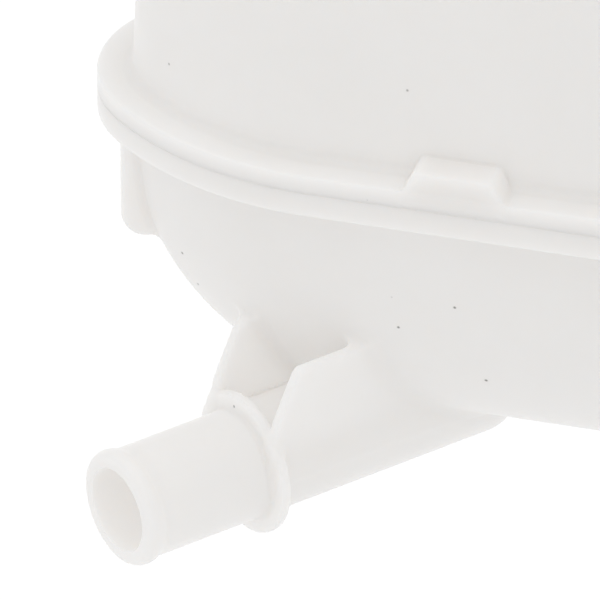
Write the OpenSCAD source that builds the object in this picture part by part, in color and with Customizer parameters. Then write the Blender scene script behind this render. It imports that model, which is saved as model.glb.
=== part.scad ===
// Coolant expansion tank: two welded moulded shells, a hose outlet and a pressure cap.
// Millimetres. +Z is up, the long side lies along X, and the front faces -Y.
// The origin is midway between the two mounting bolts, on the weld plane.

/* [Tank plan] */
// Length of the weld flange from end to end
tank_l = 180; // [160:1:230]
// Width of the weld flange from front to back
tank_w = 62.4; // [58:0.2:76]
// Radius of the round nose at each end of the flange
nose_r = 22.4; // [20:0.2:26]
// Radius of the flank between a nose and the straight side
flank_r = 58; // [48:1:70]
// Distance from the flange's edge in to the tank's wall
wall_inset = 6.3; // [5:0.1:8]
// Thickness of the tank's wall
wall = 2.6; // [2:0.1:3.5]

/* [Weld flange] */
// Height of the upper half of the flange
flange_up = 3.4; // [2.5:0.1:5]
// Height of the lower half of the flange
flange_down = 4.8; // [3.5:0.1:6]
// Radius of the fillet between the upper flange and the wall
root_r = 2.1; // [1:0.1:3]

/* [Upper shell] */
// Height of the crown above the weld
crown_h = 58; // [45:1:75]
// Draft of the upper wall in degrees
draft = 1.5; // [0.5:0.25:3]
// Squareness of the upper shell's section, where 2 is an ellipse
crown_square = 3; // [2.2:0.1:4]
// Distance from the middle to each end of the crown's ridge line
crown_keel = 44; // [30:1:55]

/* [Lower shell] */
// Straight depth of the bowl's wall below the weld
bowl_side = 10.2; // [7:0.1:14]
// Depth of the bowl's round part below its straight wall
bowl_round = 47.7; // [38:0.1:56]
// Distance from the middle to each end of the bowl's keel line
bowl_keel = 33.5; // [25:0.5:50]

/* [Outlet pipe] */
// Outside diameter of the hose outlet
pipe_d = 20; // [16:0.5:24]
// Wall of the hose outlet
pipe_wall = 2.3; // [1.8:0.1:3]
// Length of the outlet from its collar to its mouth
pipe_reach = 26.8; // [20:0.1:34]
// Length of the outlet's channel under the bowl, behind the collar
pipe_under = 57; // [45:1:60]
// Angle of the outlet from the tank's long side in degrees
pipe_turn = 50; // [40:1:60]
// Distance from the left end of the flange to the middle of the collar
pipe_from_end = 34.1; // [28:0.1:42]
// Distance from the front edge of the flange to the middle of the collar
pipe_from_front = 1.2; // [0:0.1:4]
// How much narrower the channel under the bowl is, in radius, than the bore in front of the collar
channel_step = 0.4; // [0.2:0.1:0.8]
// How far the bead at the mouth stands proud of the pipe
bead_rise = 0.6; // [0.3:0.1:1.2]
// Length of the bead at the mouth
bead_l = 3.3; // [2.6:0.1:5]
// How far the collar stands proud of the pipe
collar_rise = 3; // [2:0.1:5]
// Thickness of the collar
collar_t = 2; // [1.5:0.1:3]
// Thickness of each of the two gussets above the pipe
gusset_t = 2; // [1.5:0.1:3]
// Height of the gussets above the pipe's axis
gusset_h = 22.5; // [18:0.5:28]
// Height above the axis at which the gussets' front edge starts to slope
gusset_step = 10.6; // [8:0.2:14]
// How far the gussets' front edge leans back at its top
gusset_lean = 5.5; // [3:0.5:9]

/* [Foot rib and tab] */
// Thickness of the upright rib under the left nose
foot_t = 2.8; // [2:0.1:4]
// Depth of the foot rib below the flange
foot_drop = 24.1; // [16:0.1:28]
// Distance from the flange's edge in to the foot rib's outer edge
foot_inset = 3.5; // [2:0.1:5]
// Radius of the foot rib's lower corner
foot_corner = 5; // [2:0.5:8]
// Angle of the foot rib from the tank's long side in degrees
foot_turn = 30; // [10:1:45]
// Place of the raised tab along the front edge, from the middle
tab_x = -18.5; // [-40:0.5:40]
// Length of the tab at its base
tab_base = 18; // [12:0.5:26]
// Length of the tab at its top
tab_top = 14; // [8:0.5:20]
// Height of the tab above the upper flange
tab_h = 4; // [2:0.5:7]

/* [Mounting ears] */
// Distance between the two mounting bolts
ear_pitch = 80; // [64:1:88]
// Distance from the flange's back edge to the bolts
ear_reach = 14; // [13:0.5:20]
// Width of plastic around each grommet
ear_rim = 4.6; // [3:0.2:7]
// Outside radius of the grommet in its ear
grommet_r = 8; // [7.2:0.1:9]
// How far the grommet's lips stand proud of its ear all round
lip_w = 2.4; // [1.5:0.1:3]
// Thickness of each grommet lip
lip_t = 1.8; // [1.2:0.1:3]
// Outside radius of the steel bush
bush_r = 5.5; // [4.8:0.1:6]
// Radius of the bolt hole in the bush
bolt_r = 3.3; // [2.6:0.1:4.2]
// How far the bush stands out of the grommet at each end
bush_proud = 0.4; // [0.2:0.1:1]
// Radial clearance of the pieces in the ears
ear_fit = 0.05; // [0.02:0.01:0.1]

/* [Baffles and return nozzle] */
// Places of the baffle walls along the tank, from the middle
baffle_at = [-40, -4, 52];
// Thickness of the baffle walls
baffle_t = 2; // [1.5:0.1:3]
// Radius of the flow hole in each baffle wall
baffle_hole = 6; // [4:0.5:8]
// Height of the flow holes from the weld, up and down
baffle_hole_z = 34; // [20:1:40]
// Outside diameter of the return nozzle
nozzle_d = 8; // [6:0.5:10]
// Bore of the return nozzle
nozzle_bore = 5; // [3:0.5:6]
// Length of the return nozzle from its root
nozzle_l = 34; // [28:1:40]
// Slope of the return nozzle above the horizontal in degrees
nozzle_slope = 25; // [10:1:40]
// Height of the return nozzle's root above the weld
nozzle_z = 42; // [34:1:46]
// Distance from the left end of the flange to the return nozzle's root
nozzle_from_end = 25; // [22:1:32]

/* [Filler neck] */
// Place of the filler neck along the tank, from the middle
neck_x = 28; // [20:1:34]
// Outside diameter of the neck
neck_d = 37; // [34:0.5:40]
// Bore of the neck
neck_bore = 30.4; // [29:0.2:32]
// Height of the neck above the crown
neck_h = 19; // [18:0.5:26]
// Width of the stop ring at the foot of the neck
stop_w = 2.5; // [1.5:0.1:4]
// Thickness of the stop ring
stop_t = 2; // [1.5:0.1:3]

/* [Cap] */
// Depth of the cap's skirt below the neck's rim
skirt_h = 13; // [10:0.5:14]
// Wall of the cap's skirt
skirt_w = 3.2; // [2.4:0.1:5]
// Thickness of the cap's top
cap_top = 2.8; // [2:0.1:4]
// Radial room for the threads between the neck and the cap
thread_room = 1.8; // [1.4:0.1:2.4]
// Number of grip ribs round the cap
grip_count = 24; // [12:1:36]
// Radius of the grip ribs
grip_r = 1.4; // [0.8:0.1:1.8]
// Radius of the dished centre on top of the cap
dish_r = 17; // [12:0.5:19]
// Depth of the dished centre
dish_h = 0.9; // [0.4:0.1:1.2]
// Thickness of the flat gasket on the neck's rim
gasket_t = 1.5; // [1:0.1:2.5]
// Width of the flat gasket
gasket_w = 2.6; // [2:0.1:3]

/* [Valve insert] */
// Depth of the insert below the neck's rim
insert_h = 16; // [14:0.5:17]
// Wall of the insert
insert_w = 2.2; // [1.8:0.1:2.6]
// Thickness of the insert's floor
insert_floor = 2.4; // [2:0.1:3]
// Thickness of the insert's rim under the cap
insert_rim = 2; // [1.5:0.1:3]
// Radial gap between the insert and the neck
insert_gap = 0.6; // [0.4:0.1:0.9]
// Section radius of the two sealing rings
ring_r = 1.2; // [1:0.1:1.5]
// Depth of the upper sealing ring below the neck's rim
ring_z = 4.5; // [3.5:0.1:5]
// Distance between the two sealing rings
ring_pitch = 5; // [4:0.1:6]
// Running clearance between a sealing ring and the neck
ring_fit = 0.1; // [0.05:0.01:0.1]
// Running gap above the insert's rim and round the retainer
run_gap = 0.3; // [0.2:0.05:0.4]

/* [Valves] */
// Radius of the opening in the insert's floor
seat_r = 6.5; // [6:0.1:7]
// Thickness of the pressure valve's seal
seal_t = 1.2; // [0.8:0.1:1.6]
// Thickness of the pressure valve's plate
plate_t = 1.5; // [1.2:0.1:2]
// Thickness of the seat at the top of the pressure spring
seat_t = 1.6; // [1.2:0.1:2]
// Radius of the stem hole in the pressure valve's plate
stem_hole = 1.6; // [1.4:0.1:1.9]
// Radius of the vacuum valve's stem
stem_r = 1.1; // [0.8:0.1:1.2]
// Thickness of the vacuum valve's head
head_t = 1.2; // [0.8:0.1:1.4]
// Thickness of the vacuum valve's seal
vac_seal_t = 0.8; // [0.6:0.1:1.0]
// Height of the vacuum spring
vac_spring_h = 5.2; // [4.5:0.1:6]
// Wire radius of the pressure spring
wire_r = 0.55; // [0.4:0.05:0.7]
// Coil radius of the pressure spring
coil_r = 8; // [7.6:0.1:8.6]
// Turns of the pressure spring
coil_turns = 6; // [4:1:7]
// Wire radius of the vacuum spring
vac_wire_r = 0.25; // [0.2:0.05:0.3]
// Coil radius of the vacuum spring
vac_coil_r = 2.4; // [2.3:0.1:2.6]
// Turns of the vacuum spring
vac_turns = 5; // [4:1:7]

/* [Hidden] */
$fn = 64;

milky = [0.90, 0.89, 0.88];
rubber = [0.12, 0.12, 0.12];
steel = [0.72, 0.73, 0.75];
cap_black = [0.10, 0.10, 0.11];
inner_white = [0.82, 0.82, 0.80];

half_l = tank_l / 2;
half_w = tank_w / 2;
ear_y = half_w + ear_reach;

// Centres of the nose arc and of the flank arc of the front left quarter
nose_c = [-(half_l - nose_r), 0];
flank_run = sqrt((half_w - nose_r) * (2 * flank_r - half_w - nose_r));
flank_c = [nose_c[0] + flank_run, flank_r - half_w];
// Direction in which the two arcs meet
join_a = 360 + atan2(nose_c[1] - flank_c[1], nose_c[0] - flank_c[0]);
flank_steps = 5;
nose_steps = 7;

bowl_bottom = -(bowl_side + bowl_round);
keel_flat = 2;
wall_w = half_w - wall_inset;
loft_steps = 9;
// How far a cut runs past the face that it opens
past = 1;

pipe_r = pipe_d / 2;
bore_r = pipe_r - pipe_wall;
pipe_c = [-half_l + pipe_from_end, -half_w + pipe_from_front, bowl_bottom];

neck_r = neck_d / 2;
rim_z = crown_h + neck_h;
cap_bore = neck_r + thread_room;
cap_r = cap_bore + skirt_w;
insert_r = neck_bore / 2 - insert_gap;
insert_in = insert_r - insert_w;
rim_r = cap_bore - run_gap;
rim_under = gasket_t;
rim_over = rim_under + insert_rim;
floor_top = insert_floor - insert_h;
plate_z = floor_top + seal_t;
plate_over = plate_z + plate_t;
plate_r = insert_in - run_gap;
clip_z = plate_over + vac_spring_h;
clip_t = 0.8;
// Gap that keeps the coils, the seat and the clip just clear of what they rest on
coil_gap = 0.02;
// Overlap of the pressure seal on the insert's floor round its opening, and the seal's own opening beyond it
seal_land = 2.6;
seal_slack = 0.4;
// Ring of the floor's opening left free round the vacuum valve's head
head_room = 1.4;
head_r = seat_r - head_room;
// Step from a rubber ring to the edge of the piece that carries it
ring_step = 0.3;

// A point on a circle
function on_arc(c, r, a) = [c[0] + r * cos(a), c[1] + r * sin(a)];

// Front left quarter of the plan, parallel to the flange's edge at the distance off outside it
function quarter(off) = concat(
    [for (i = [0 : flank_steps]) on_arc(flank_c, flank_r + off, 270 + (join_a - 270) * i / flank_steps)],
    [for (i = [1 : nose_steps]) on_arc(nose_c, nose_r + off, join_a + (180 - join_a) * i / nose_steps)]
);
function backwards(p) = [for (i = [len(p) - 1 : -1 : 0]) p[i]];
function flip_y(p) = [for (q = p) [q[0], -q[1]]];
function flip_x(p) = [for (q = p) [-q[0], q[1]]];
// Left half without the doubled nose point, then the right half
function left_side(off) = concat(quarter(off), backwards(flip_y([for (i = [0 : len(quarter(off)) - 2]) quarter(off)[i]])));
function plan(off) = concat(left_side(off), backwards(flip_x(left_side(off))));

// One ring of a loft, drawn in from the plan towards the keel line by the share g
function keel_point(p, keel) = [max(-keel, min(keel, p[0])), 0];
function ring(off, z, g, keel) = [
    for (p = plan(off))
        let (k = keel_point(p, keel))
        [k[0] + (p[0] - k[0]) * g, k[1] + (p[1] - k[1]) * g, z]
];
function power(v, square) = pow(max(v, 0), 2 / square);

// Closed solid through rings that run upwards
module loft(rings) {
    n = len(rings[0]);
    last = len(rings) - 1;
    sides = [
        for (k = [0 : last - 1])
            for (i = [0 : n - 1])
                let (a = k * n + i, b = k * n + (i + 1) % n)
                each [[a, b, b + n], [a, b + n, a + n]]
    ];
    bottom = [for (i = [0 : n - 1]) n - 1 - i];
    top = [for (i = [0 : n - 1]) last * n + i];
    polyhedron(points = [for (r = rings) each r], faces = concat([bottom], sides, [top]));
}

// A flat plate with the flange's plan
module flange(z, h) {
    translate([0, 0, z])
        linear_extrude(height = h)
            polygon(plan(0));
}

// The bowl's skin, drawn in by t: an elliptical loft from the wall to the keel line
function bowl_rings(t, top_z) = concat(
    [
        for (i = [loft_steps : -1 : 0])
            let (a = 90 * i / loft_steps)
            ring(-wall_inset - t, -bowl_side - (bowl_round - t) * sin(a), max(cos(a), keel_flat / wall_w), bowl_keel)
    ],
    [ring(-wall_inset - t, top_z, 1, bowl_keel)]
);

// The upper shell's skin: drafted walls that turn over to the crown's ridge line
wall_z = flange_up + root_r;
function drafted(t, z) = -wall_inset - t - tan(draft) * max(z - wall_z, 0);
function crown_ring(t, a) =
    let (z = wall_z + (crown_h - t - wall_z) * power(sin(a), crown_square))
    ring(drafted(t, z), z, max(power(cos(a), crown_square), keel_flat / wall_w), crown_keel);
function crown_rings(t) = [for (i = [0 : loft_steps]) crown_ring(t, 90 * i / loft_steps)];
fillet_steps = 3;
function root_rings() = [
    for (i = [0 : fillet_steps - 1])
        let (a = 90 - 90 * i / fillet_steps)
        ring(root_r * (1 - cos(a)) - wall_inset, wall_z - root_r * sin(a), 1, crown_keel)
];
function dome_outer() = concat([ring(root_r - wall_inset, flange_up / 2, 1, crown_keel)], root_rings(), crown_rings(0));
function dome_inner() = concat([ring(-wall_inset - wall, -1, 1, crown_keel)], crown_rings(wall));

// Flow holes leave the chambers joined; the lower ones lie near the floor
module baffles(side) {
    for (x = baffle_at)
        translate([x, 0, 0])
            difference() {
                cube([baffle_t, tank_w, 3 * crown_h], center = true);
                translate([0, 0, side * baffle_hole_z])
                    rotate([0, 90, 0])
                        cylinder(r = baffle_hole, h = 2 * baffle_t, center = true);
            }
}

module at_neck(z) {
    translate([neck_x, -ear_y, rim_z + z])
        children();
}
module tank_place() {
    translate([0, -ear_y, 0])
        children();
}

module tab() {
    translate([tab_x, half_w - tank_w + wall_inset - root_r, flange_up / 2])
        rotate([90, 0, 0])
            linear_extrude(height = wall_inset - root_r)
                polygon([
                    [-tab_base / 2, 0], [tab_base / 2, 0], [tab_base / 2, flange_up / 2],
                    [tab_top / 2, flange_up / 2 + tab_h], [-tab_top / 2, flange_up / 2 + tab_h],
                    [-tab_base / 2, flange_up / 2]
                ]);
}

module nozzle_place() {
    translate([-half_l + nozzle_from_end, 0, nozzle_z])
        rotate([0, nozzle_slope - 90, 0])
            children();
}
// The nozzle has a thicker root, a free stretch for the hose and a barb behind its tip
nozzle_free = 22;
nozzle_boss = 2;
barb_rise = 0.6;
barb_l = 2;
barb_tip = 1;
module nozzle() {
    nozzle_place() {
        cylinder(d = nozzle_d, h = nozzle_l);
        cylinder(d = nozzle_d + 2 * nozzle_boss, h = nozzle_l - nozzle_free);
        translate([0, 0, nozzle_l - barb_tip - barb_l])
            cylinder(d1 = nozzle_d + 2 * barb_rise, d2 = nozzle_d, h = barb_l);
    }
}

module neck() {
    translate([neck_x, 0, crown_h / 2])
        cylinder(d = neck_d, h = rim_z - crown_h / 2);
    translate([neck_x, 0, crown_h])
        cylinder(r = neck_r + stop_w, h = stop_t);
}

module upper_shell() color(milky) tank_place() difference() {
    union() {
        loft(dome_outer());
        flange(0, flange_up);
        tab();
        neck();
        nozzle();
    }
    difference() {
        loft(dome_inner());
        baffles(1);
    }
    translate([neck_x, 0, crown_h / 2])
        cylinder(d = neck_bore, h = rim_z);
    nozzle_place()
        translate([0, 0, -nozzle_d / 2])
            cylinder(d = nozzle_bore, h = nozzle_l + nozzle_d);
}

// The outlet lies along its own +Z, from the collar's middle to the mouth
module pipe_place() {
    translate(pipe_c)
        rotate([0, 0, pipe_turn])
            rotate([0, -90, 0])
                children();
}
// The pipe with its collar, its bead and the closed round end under the bowl
channel_back = -pipe_under + pipe_r;
module pipe() {
    pipe_place() {
        translate([0, 0, channel_back])
            cylinder(r = pipe_r, h = pipe_reach - channel_back);
        translate([0, 0, channel_back])
            sphere(r = pipe_r);
        translate([0, 0, -collar_t / 2])
            cylinder(r = pipe_r + collar_rise, h = collar_t);
        translate([0, 0, pipe_reach - bead_l])
            rotate_extrude()
                bead_2d();
    }
}
// Section of the bead, with its outer edges rounded
bead_round = 1;
module bead_2d() {
    square([pipe_r, bead_l]);
    translate([0, bead_round])
        square([pipe_r + bead_rise, bead_l - 2 * bead_round]);
    for (z = [bead_round, bead_l - bead_round])
        translate([pipe_r + bead_rise - bead_round, z])
            circle(r = bead_round);
}
// The bore is stepped at the collar, where the core pins of the stub and of the channel meet
module pipe_bore() {
    pipe_place() {
        cylinder(r = bore_r, h = pipe_reach + past);
        translate([0, 0, channel_back])
            cylinder(r = bore_r - channel_step, h = past - channel_back);
        translate([0, 0, channel_back])
            sphere(r = bore_r - channel_step);
    }
}
// Two gussets over the pipe, each flush with one of its sides
module gussets() {
    pipe_place()
        for (side = [-1, 1])
            translate([0, side * (pipe_r - gusset_t / 2) + gusset_t / 2, 0])
                rotate([90, 0, 0])
                    linear_extrude(height = gusset_t)
                        polygon([
                            [0, collar_t / 2], [gusset_step, collar_t / 2],
                            [gusset_h, collar_t / 2 - gusset_lean], [gusset_h, channel_back],
                            [0, channel_back]
                        ]);
}

module foot_rib() {
    reach = nose_r - foot_inset;
    translate([nose_c[0], nose_c[1], -flange_down / 2])
        rotate([0, 0, 180 + foot_turn])
            rotate([90, 0, 0])
                translate([0, 0, -foot_t / 2])
                    linear_extrude(height = foot_t) {
                        translate([0, foot_corner - foot_drop - flange_down / 2])
                            square([reach, foot_drop - foot_corner + flange_down / 2]);
                        translate([0, -foot_drop - flange_down / 2])
                            square([reach - foot_corner, foot_drop]);
                        translate([reach - foot_corner, foot_corner - foot_drop - flange_down / 2])
                            circle(r = foot_corner);
                    }
}

ear_hole = grommet_r + ear_fit;
ear_r = ear_hole + ear_rim;
ear_rib_t = 2.4;
ear_rib_h = 14;
module ear(side) {
    translate([side * ear_pitch / 2, ear_y, -flange_down])
        linear_extrude(height = flange_down) {
            circle(r = ear_r);
            translate([-ear_r, -ear_reach - wall_inset / 2])
                square([2 * ear_r, ear_reach + wall_inset / 2]);
        }
    for (rib = [-1, 1])
        translate([side * ear_pitch / 2 + rib * (ear_r - ear_rib_t / 2) + ear_rib_t / 2, wall_w - wall / 2, 0])
            rotate([0, -90, 0])
                linear_extrude(height = ear_rib_t)
                    polygon([
                        [-flange_down / 2, 0], [-flange_down / 2, ear_reach + wall_inset],
                        [-flange_down, ear_reach + wall_inset], [-flange_down - ear_rib_h, 0]
                    ]);
}

module lower_shell() color(milky) tank_place() difference() {
    union() {
        loft(bowl_rings(0, -flange_down / 2));
        flange(-flange_down, flange_down);
        pipe();
        gussets();
        foot_rib();
        for (side = [-1, 1])
            ear(side);
    }
    difference() {
        loft(bowl_rings(wall, 1));
        baffles(-1);
    }
    pipe_bore();
    for (side = [-1, 1])
        translate([side * ear_pitch / 2, ear_y, -2 * flange_down])
            cylinder(r = ear_hole, h = 3 * flange_down);
}

module ear_place(side) {
    translate([side * ear_pitch / 2, 0, 0])
        children();
}
bush_hole = bush_r + ear_fit;
module ear_grommet(side) color(rubber) ear_place(side) {
    rotate_extrude() {
        translate([bush_hole, -flange_down - lip_t])
            square([grommet_r - bush_hole, flange_down + 2 * lip_t]);
        for (z = [-flange_down - lip_t, 0])
            translate([bush_hole, z])
                square([grommet_r + lip_w - bush_hole, lip_t]);
    }
}
module ear_bush(side) color(steel) ear_place(side) {
    translate([0, 0, -flange_down - lip_t - bush_proud])
        difference() {
            cylinder(r = bush_r, h = flange_down + 2 * lip_t + 2 * bush_proud);
            translate([0, 0, -past])
                cylinder(r = bolt_r, h = flange_down + 2 * lip_t + 2 * bush_proud + 2 * past);
        }
}

module cap_shell() color(cap_black) at_neck(0) difference() {
    union() {
        translate([0, 0, -skirt_h])
            cylinder(r = cap_r, h = skirt_h + rim_over + run_gap + cap_top);
        for (i = [0 : grip_count - 1])
            rotate([0, 0, 360 * i / grip_count])
                translate([cap_r, 0, -skirt_h])
                    cylinder(r = grip_r, h = skirt_h + rim_over, $fn = 24);
    }
    translate([0, 0, -skirt_h - past])
        cylinder(r = cap_bore, h = skirt_h + past + rim_over + run_gap);
    translate([0, 0, rim_over + run_gap + cap_top - dish_h])
        cylinder(r = dish_r, h = dish_h + past);
}
// The snap ring under the insert's rim, which lifts the insert with the cap
module cap_retainer() color(cap_black) at_neck(0) difference() {
    cylinder(r = cap_bore - coil_gap, h = rim_under - run_gap);
    translate([0, 0, -past])
        cylinder(r = neck_r + run_gap, h = rim_under + 2 * past);
}

ring_depths = [ring_z, ring_z + ring_pitch];
ring_mid = neck_bore / 2 - ring_fit - ring_r;
module valve_insert() color(inner_white) at_neck(0) difference() {
    union() {
        translate([0, 0, -insert_h])
            cylinder(r = insert_r, h = insert_h + rim_under);
        translate([0, 0, rim_under])
            cylinder(r = rim_r, h = insert_rim);
    }
    translate([0, 0, floor_top])
        cylinder(r = insert_in, h = insert_h + rim_over);
    translate([0, 0, -insert_h - past])
        cylinder(r = seat_r, h = insert_floor + 2 * past);
    for (z = ring_depths)
        translate([0, 0, -z - ring_r])
            difference() {
                cylinder(r = insert_r + past, h = 2 * ring_r);
                translate([0, 0, -past])
                    cylinder(r = ring_mid - ring_r, h = 2 * ring_r + 2 * past);
            }
}
module rim_gasket() color(rubber) at_neck(0) difference() {
    cylinder(r = neck_r - ring_step, h = gasket_t);
    translate([0, 0, -past])
        cylinder(r = neck_r - ring_step - gasket_w, h = gasket_t + 2 * past);
}
module neck_ring(k) color(rubber) at_neck(-ring_depths[k]) {
    rotate_extrude()
        translate([ring_mid, 0])
            circle(r = ring_r, $fn = 32);
}

// Steel disc that closes the insert's top and holds down the pressure spring
vent_r = stem_hole + 2;
module spring_seat() color(steel) at_neck(0) difference() {
    cylinder(r = insert_in - coil_gap, h = seat_t);
    translate([0, 0, -past])
        cylinder(r = vent_r, h = seat_t + 2 * past);
}

// Round wire wound from z = 0 to z = h, with three quarters of a turn closed at each end
closed_turn = 0.75;
closed_pitch = 2.1;
function rise(u, turns) = min(1, max(0, (u * turns - closed_turn) / (turns - 2 * closed_turn)));
function wire_ring(u, turns, mid, r, h, sides) = [
    for (j = [0 : sides - 1])
        let (a = 360 * turns * u, b = -360 * j / sides, m = mid + r * cos(b), closed = r * closed_pitch)
        let (ends = min(u * turns, closed_turn) + max(u * turns - turns + closed_turn, 0))
        let (z = r + closed * ends + (h - 2 * r - 2 * closed_turn * closed) * rise(u, turns))
        [m * cos(a), m * sin(a), z + r * sin(b)]
];
module spring(mid, r, h, turns, sides, steps) {
    count = turns * steps;
    loft([for (i = [0 : count]) wire_ring(i / count, turns, mid, r, h, sides)]);
}
module pressure_spring() color(steel) at_neck(plate_over + coil_gap)
    spring(coil_r, wire_r, -plate_over - 2 * coil_gap, coil_turns, 8, 20);
module vacuum_spring() color(steel) at_neck(plate_over + coil_gap)
    spring(vac_coil_r, vac_wire_r, vac_spring_h - 2 * coil_gap, vac_turns, 6, 14);

// White plate with a collar inside the spring, flow notches round its edge and the vacuum valve's hole
spigot_r = coil_r - wire_r - run_gap;
spigot_w = 1.2;
spigot_h = 1;
notch_count = 3;
notch_r = 2;
module pressure_valve() color(inner_white) at_neck(plate_z) difference() {
    union() {
        cylinder(r = plate_r, h = plate_t);
        cylinder(r = spigot_r, h = plate_t + spigot_h);
    }
    translate([0, 0, -past])
        cylinder(r = stem_hole, h = plate_t + 2 * past);
    translate([0, 0, plate_t])
        cylinder(r = spigot_r - spigot_w, h = spigot_h + past);
    for (i = [0 : notch_count - 1])
        rotate([0, 0, 360 / notch_count * i])
            translate([plate_r, 0, -past])
                cylinder(r = notch_r, h = plate_t + 2 * past);
}
module pressure_seal() color(rubber) at_neck(floor_top) difference() {
    cylinder(r = seat_r + seal_land, h = seal_t);
    translate([0, 0, -past])
        cylinder(r = seat_r + seal_slack, h = seal_t + 2 * past);
}
stem_tip = 0.4;
module vacuum_valve() color(inner_white) at_neck(plate_z - vac_seal_t) {
    translate([0, 0, -head_t])
        cylinder(r = head_r, h = head_t);
    cylinder(r = stem_r, h = vac_seal_t + plate_t + vac_spring_h + clip_t + stem_tip);
}
module vacuum_seal() color(rubber) at_neck(plate_z - vac_seal_t) difference() {
    cylinder(r = head_r - ring_step, h = vac_seal_t);
    translate([0, 0, -past])
        cylinder(r = stem_hole + seal_slack, h = vac_seal_t + 2 * past);
}
clip_rim = 0.7;
module vacuum_clip() color(steel) at_neck(clip_z) difference() {
    cylinder(r = vac_coil_r + clip_rim, h = clip_t);
    translate([0, 0, -past])
        cylinder(r = stem_r + coil_gap, h = clip_t + 2 * past);
}

upper_shell();
lower_shell();
ear_grommet(-1);  // ear_grommet_left
ear_grommet(1);  // ear_grommet_right
ear_bush(-1);  // ear_bush_left
ear_bush(1);  // ear_bush_right
cap_shell();
cap_retainer();
valve_insert();
rim_gasket();
neck_ring(0);  // neck_ring_upper
neck_ring(1);  // neck_ring_lower
spring_seat();
pressure_spring();
pressure_valve();
pressure_seal();
vacuum_valve();
vacuum_seal();
vacuum_spring();
vacuum_clip();
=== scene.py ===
"""Looks of a coolant expansion tank: two milky moulded shells, mounting ears and a black screw cap.

Sizes are in millimetres, in the tank's own frame: the origin is the middle of the tank on the weld plane, and
the front is along -Y. MM turns them into metres, and to_row moves them to the frame's origin between the bolts.
"""
import math

import bmesh
import bpy
import numpy as np
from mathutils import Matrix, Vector


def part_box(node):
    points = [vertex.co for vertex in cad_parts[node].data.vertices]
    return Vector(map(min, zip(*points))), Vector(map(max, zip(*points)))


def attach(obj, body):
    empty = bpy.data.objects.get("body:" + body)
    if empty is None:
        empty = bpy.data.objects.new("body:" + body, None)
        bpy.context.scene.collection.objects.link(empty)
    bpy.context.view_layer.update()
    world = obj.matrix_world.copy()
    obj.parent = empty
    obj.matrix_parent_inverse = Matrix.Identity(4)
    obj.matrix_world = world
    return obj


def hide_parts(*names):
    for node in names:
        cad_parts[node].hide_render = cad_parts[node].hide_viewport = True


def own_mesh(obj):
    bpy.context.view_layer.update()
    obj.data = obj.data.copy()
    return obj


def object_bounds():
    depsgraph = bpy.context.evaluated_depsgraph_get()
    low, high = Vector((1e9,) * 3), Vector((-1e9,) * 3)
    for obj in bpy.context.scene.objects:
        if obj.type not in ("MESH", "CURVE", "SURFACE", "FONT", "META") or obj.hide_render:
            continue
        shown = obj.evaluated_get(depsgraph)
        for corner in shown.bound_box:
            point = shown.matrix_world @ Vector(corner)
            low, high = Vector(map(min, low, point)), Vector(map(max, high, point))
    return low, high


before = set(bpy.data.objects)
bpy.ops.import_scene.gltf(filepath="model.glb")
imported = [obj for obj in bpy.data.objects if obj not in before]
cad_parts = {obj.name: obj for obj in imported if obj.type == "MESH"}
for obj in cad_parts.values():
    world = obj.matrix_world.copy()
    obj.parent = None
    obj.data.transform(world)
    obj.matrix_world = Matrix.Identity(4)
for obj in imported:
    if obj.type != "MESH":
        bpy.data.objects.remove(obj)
cad_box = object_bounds()

MM = 0.001

# Tank plan
HALF_L = 90.0
HALF_W = 31.2
NOSE_R = 22.4
FLANK_R = 58.0
WALL_INSET = 6.3
WALL = 2.6
NOSE_X = HALF_L - NOSE_R
FLANK_Y = FLANK_R - HALF_W
FLANK_X = NOSE_X - math.sqrt((HALF_W - NOSE_R) * (2 * FLANK_R - HALF_W - NOSE_R))
JOIN = math.atan2(NOSE_X - FLANK_X, FLANK_Y)
EAR_Y = HALF_W + 14.0

# Flange and walls
FLANGE_UP = 3.4
FLANGE_DOWN = 4.8
ROOT_R = 2.1
ROOT_DOWN_R = 1.0
EDGE_R = 0.5
WELD_R = 0.08
CROWN_H = 58.0
DRAFT = math.tan(math.radians(1.5))
CROWN_SQUARE = 3.0
CROWN_KEEL = 44.0
BOWL_SIDE = 10.2
BOWL_ROUND = 47.7
BOWL_KEEL = 33.5
KEEL_FLAT = 0.4
WALL_Z = FLANGE_UP + ROOT_R

# Outlet pipe
PIPE_R = 10.0
BORE_R = 7.7
CHANNEL_R = 7.3
PIPE_REACH = 26.8
PIPE_UNDER = 57.0
PIPE_TURN = math.radians(50)
PIPE_C = np.array([-HALF_L + 34.1, -HALF_W + 1.2, -(BOWL_SIDE + BOWL_ROUND)])
PIPE_D = np.array([-math.cos(PIPE_TURN), -math.sin(PIPE_TURN), 0.0])
PIPE_N = np.array([-math.sin(PIPE_TURN), math.cos(PIPE_TURN), 0.0])
BEAD_RISE = 0.6
BEAD_L = 3.3
COLLAR_R = 13.0
COLLAR_T = 2.0
GUSSET_T = 2.0
GUSSET_H = 22.5
GUSSET_STEP = 10.6
GUSSET_LEAN = 5.5

# Foot rib and tab
FOOT_T = 2.8
FOOT_Z = -FLANGE_DOWN - 24.1
FOOT_REACH = NOSE_R - 3.5
FOOT_CORNER = 5.0
FOOT_TURN = math.radians(30)
TAB_X = -18.5
TAB_BASE = 9.0
TAB_TOP = 7.0
TAB_H = 4.0

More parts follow.
